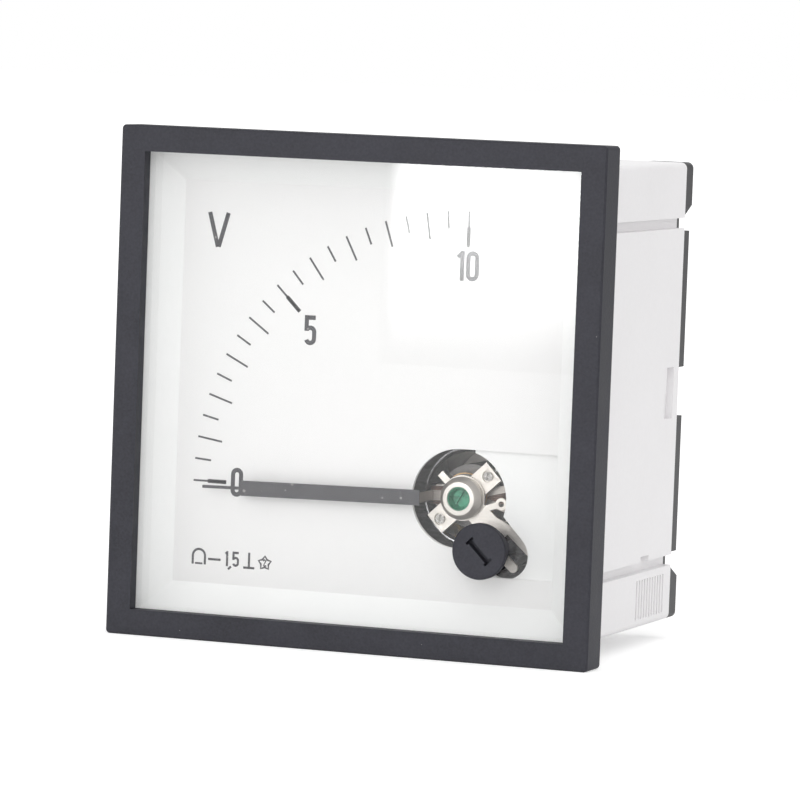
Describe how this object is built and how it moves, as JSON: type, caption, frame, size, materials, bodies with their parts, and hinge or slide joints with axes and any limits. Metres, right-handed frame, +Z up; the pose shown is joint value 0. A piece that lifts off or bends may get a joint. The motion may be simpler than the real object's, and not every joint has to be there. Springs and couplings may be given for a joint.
{
  "type": "analog panel meter",
  "caption": "Square analog panel meter with a quarter-circle scale, bar pointer, moving-coil movement, front zero corrector and clamp rails on a light case.",
  "frame": {"origin": "centre of the panel plane, on the bezel's rear face", "axes": "+X to the right seen from the front, +Z up, +Y to the rear through the panel"},
  "size_m": [0.072, 0.0598, 0.072],
  "materials": {
    "black_plastic": "fine grained moulded plastic",
    "pane": "clear polished",
    "case_plastic": "smooth moulded plastic",
    "white_plastic": "smooth moulded plastic",
    "dial_paint": "matt painted sheet",
    "nickel": "nickel plated",
    "iron": "ground and polished",
    "magnet": "ground",
    "brass": "turned",
    "green_lacquer": "lacquered",
    "steel": "polished",
    "bronze": "rolled strip",
    "bare_aluminium": "dull folded sheet",
    "copper": "dark enamelled wire",
    "pointer_paint": "matt painted sheet",
    "base_plastic": "moulded plastic",
    "resistor_body": "lacquered",
    "tinned_wire": "tinned",
    "lead_sleeve": "insulated wire"
  },
  "bodies": {
    "housing": {"bezel": "black_plastic", "window_pane": "pane", "case": "case_plastic", "dial_mask": "white_plastic", "dial_plate": "dial_paint", "movement_carrier": "white_plastic", "movement_screws": "nickel", "yoke_ring": "iron", "core_magnet": "magnet", "movement_plate": "nickel", "front_bridge": "nickel", "front_spacers": "brass", "rear_spacers": "brass", "front_bridge_screws": "steel", "rear_bridge_screws": "nickel", "lever_collar": "nickel", "front_jewel_screw": "green_lacquer", "rear_jewel_screw": "green_lacquer", "rear_hairspring": "bronze", "rear_base": "base_plastic", "base_screws": "nickel", "terminal_studs": "brass", "terminal_nuts": "brass", "terminal_washers": "nickel", "inner_nuts": "brass", "solder_lugs": "brass", "series_resistor": "resistor_body", "resistor_leads": "tinned_wire", "lead_minus": "lead_sleeve"},
    "moving_system": {"pointer": "pointer_paint", "pointer_hub": "bare_aluminium", "coil_former": "bare_aluminium", "moving_coil": "copper", "front_pivot": "steel", "rear_pivot": "steel", "balance_weights": "brass"},
    "lever": {"zero_lever": "nickel", "front_hairspring": "bronze"},
    "corrector": {"zero_knob": "black_plastic", "zero_crank": "black_plastic"}
  },
  "joints": [
    {"name": "pointer_swing", "type": "hinge", "parent": "housing", "child": "moving_system", "pos_m": [0.0142, 0.0112, -0.014], "axis": [0, 1, 0], "range_deg": [-2, 94], "stiffness_Nm_per_rad": 0.00002, "deforming": ["front_hairspring", "rear_hairspring"]},
    {"name": "zero_corrector_turn", "type": "hinge", "parent": "housing", "child": "corrector", "pos_m": [0.01926, 0, -0.0206], "axis": [0, 1, 0], "range_deg": [-8, 120]},
    {"name": "zero_lever_swing", "type": "hinge", "parent": "housing", "child": "lever", "pos_m": [0.0142, 0.0033, -0.014], "axis": [0, 1, 0], "range_deg": [-1.5, 22.2]}
  ],
  "couplings": [
    {"joint": "zero_lever_swing", "follows": "zero_corrector_turn", "ratio": 0.18445}
  ]
}
